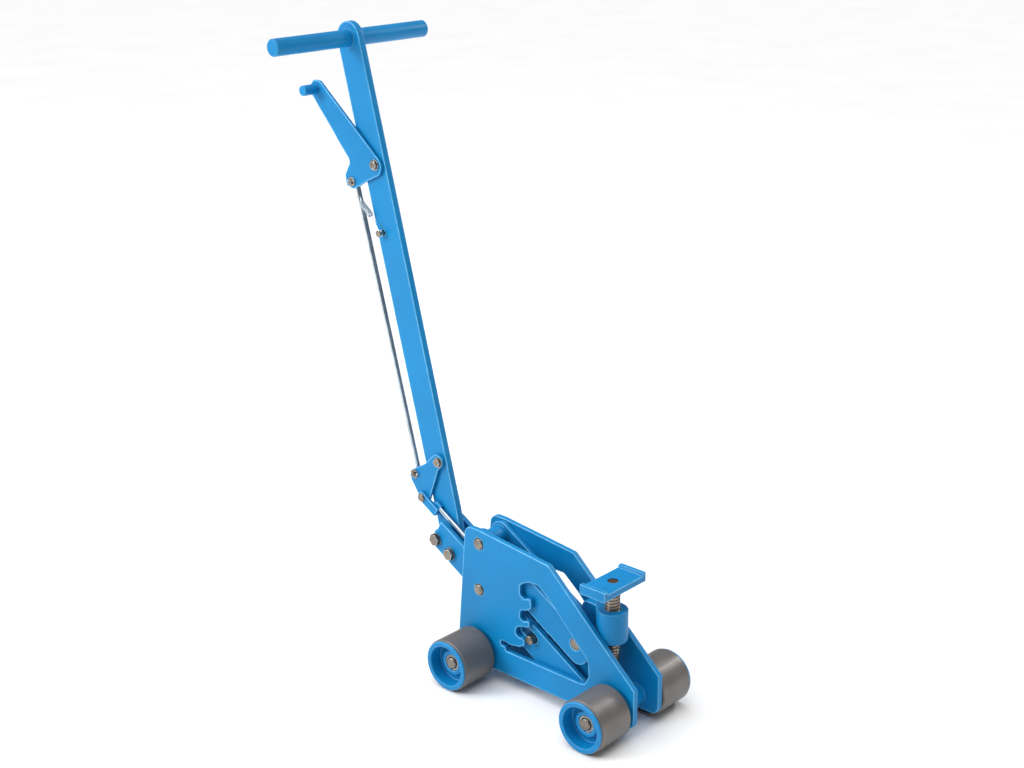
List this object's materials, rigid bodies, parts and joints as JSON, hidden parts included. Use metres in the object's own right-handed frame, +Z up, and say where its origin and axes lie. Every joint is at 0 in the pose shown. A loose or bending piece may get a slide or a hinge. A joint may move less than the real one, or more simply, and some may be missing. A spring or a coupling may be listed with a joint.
{
  "type": "lever trolley jack",
  "caption": "Wheeled mechanical lever jack: twin side plates on rollers, parallelogram lifting arms, screw saddle and a hand release that locks the arm in gate notches.",
  "frame": {"origin": "on the floor, midway along the overall length and in the middle plane between the side plates", "axes": "+X forward towards the saddle, +Y to the left of a person standing at the handle, +Z up"},
  "size_m": [0.6948, 0.3126, 1.0128],
  "materials": {
    "blue_paint": "satin blue paint on cut steel plate, worn to bare metal on the edges",
    "wheel_paint": "satin blue paint on a turned steel hub",
    "tread": "grey-brown moulded tread, scuffed",
    "bare_steel": "bare turned steel, slightly oxidised",
    "screw_steel": "dark oiled screw thread",
    "bright_rod": "bright drawn steel rod"
  },
  "bodies": {
    "frame": {"side_plate_right": "blue_paint", "side_plate_left": "blue_paint", "rear_axle": "bare_steel", "rear_axle_spacer": "blue_paint", "front_axle": "bare_steel", "front_axle_spacer": "blue_paint", "upper_pivot_pin": "bare_steel", "lower_pivot_pin": "bare_steel", "rear_right_retaining_ring": "bare_steel", "rear_left_retaining_ring": "bare_steel", "front_right_retaining_ring": "bare_steel", "front_left_retaining_ring": "bare_steel"},
    "lower_arm": {"lower_arm_cheek_right": "blue_paint", "lower_arm_cheek_left": "blue_paint", "lower_pivot_tube": "blue_paint", "handle_bar": "blue_paint", "t_bar": "blue_paint", "handle_packer_right": "blue_paint", "handle_packer_left": "blue_paint", "handle_bolt_front": "bare_steel", "handle_bolt_rear": "bare_steel", "handle_nut_front": "bare_steel", "handle_nut_rear": "bare_steel", "spring_stud": "bare_steel", "lever_pivot_bolt": "bare_steel", "crank_pivot_bolt": "bare_steel", "carrier_pin_lower": "bare_steel", "return_spring": "bright_rod"},
    "upper_arm": {"upper_arm_cheek_right": "blue_paint", "upper_arm_cheek_left": "blue_paint", "upper_pivot_tube": "blue_paint", "carrier_pin_upper": "bare_steel"},
    "carrier": {"carrier_plate": "blue_paint", "threaded_sleeve": "blue_paint"},
    "collar": {"thrust_washer": "bare_steel"},
    "screw": {"lift_screw": "screw_steel"},
    "saddle_body": {"saddle": "blue_paint"},
    "lever": {"release_lever": "blue_paint", "lever_knob": "blue_paint", "lever_clevis_pin": "bare_steel"},
    "pull_rod_body": {"pull_rod": "bright_rod"},
    "crank": {"bell_crank": "blue_paint", "crank_clevis_pin": "bare_steel", "crank_link_pin": "bare_steel"},
    "lock": {"push_clevis": "blue_paint", "push_rod": "bright_rod", "lock_slider": "blue_paint", "locking_pin": "bare_steel"},
    "rear_right_roller": {"rear_right_hub": "wheel_paint", "rear_right_tread": "tread"},
    "rear_left_roller": {"rear_left_hub": "wheel_paint", "rear_left_tread": "tread"},
    "front_right_roller": {"front_right_hub": "wheel_paint", "front_right_tread": "tread"},
    "front_left_roller": {"front_left_hub": "wheel_paint", "front_left_tread": "tread"}
  },
  "joints": [
    {"name": "rear_right_roll", "type": "hinge", "parent": "frame", "child": "rear_right_roller", "pos_m": [0.02884, 0, 0.0425], "axis": [0, 1, 0], "continuous": true},
    {"name": "rear_left_roll", "type": "hinge", "parent": "frame", "child": "rear_left_roller", "pos_m": [0.02884, 0, 0.0425], "axis": [0, 1, 0], "continuous": true},
    {"name": "front_right_roll", "type": "hinge", "parent": "frame", "child": "front_right_roller", "pos_m": [0.30534, 0, 0.0425], "axis": [0, 1, 0], "continuous": true},
    {"name": "front_left_roll", "type": "hinge", "parent": "frame", "child": "front_left_roller", "pos_m": [0.30534, 0, 0.0425], "axis": [0, 1, 0], "continuous": true},
    {"name": "lift", "type": "hinge", "parent": "frame", "child": "lower_arm", "pos_m": [0.03284, 0, 0.15], "axis": [0, -1, 0], "range_deg": [0, 44]},
    {"name": "upper_arm_swing", "type": "hinge", "parent": "frame", "child": "upper_arm", "pos_m": [0.03284, 0, 0.2295], "axis": [0, -1, 0], "range_deg": [0, 44]},
    {"name": "carrier_level", "type": "hinge", "parent": "lower_arm", "child": "carrier", "pos_m": [0.22384, 0, 0.0375], "axis": [0, -1, 0], "range_deg": [-44, 0]},
    {"name": "saddle_height", "type": "slide", "parent": "carrier", "child": "collar", "axis": [0, 0, 1], "range_m": [-0.02, 0.045]},
    {"name": "screw_turn", "type": "hinge", "parent": "collar", "child": "screw", "pos_m": [0.27634, 0, 0.2], "axis": [0, 0, 1], "continuous": true},
    {"name": "saddle_swivel", "type": "hinge", "parent": "collar", "child": "saddle_body", "pos_m": [0.27634, 0, 0.225], "axis": [0, 0, 1], "continuous": true},
    {"name": "lever_squeeze", "type": "hinge", "parent": "lower_arm", "child": "lever", "pos_m": [-0.20186, 0, 0.7973], "axis": [0, 1, 0], "range_deg": [0, 13.6], "stiffness_Nm_per_rad": 3, "springref_deg": -17.19, "deforming": ["return_spring"]},
    {"name": "rod_hang", "type": "hinge", "parent": "lever", "child": "pull_rod_body", "pos_m": [-0.25636, 0, 0.7633], "axis": [0, 1, 0], "range_deg": [-13.6, 0]},
    {"name": "crank_turn", "type": "hinge", "parent": "lower_arm", "child": "crank", "pos_m": [-0.07596, 0, 0.3316], "axis": [0, 1, 0], "range_deg": [0, 13.6]},
    {"name": "lock_slide", "type": "slide", "parent": "lower_arm", "child": "lock", "axis": [-0.8572, 0, 0.515], "range_m": [0, 0.0181]}
  ],
  "couplings": [
    {"joint": "upper_arm_swing", "follows": "lift", "ratio": 1},
    {"joint": "carrier_level", "follows": "lift", "ratio": -1},
    {"joint": "screw_turn", "follows": "saddle_height", "rad_per_m": 1256.6},
    {"joint": "rod_hang", "follows": "lever_squeeze", "ratio": -1},
    {"joint": "crank_turn", "follows": "lever_squeeze", "ratio": 1},
    {"joint": "lock_slide", "follows": "lever_squeeze", "m_per_rad": 0.0758}
  ]
}
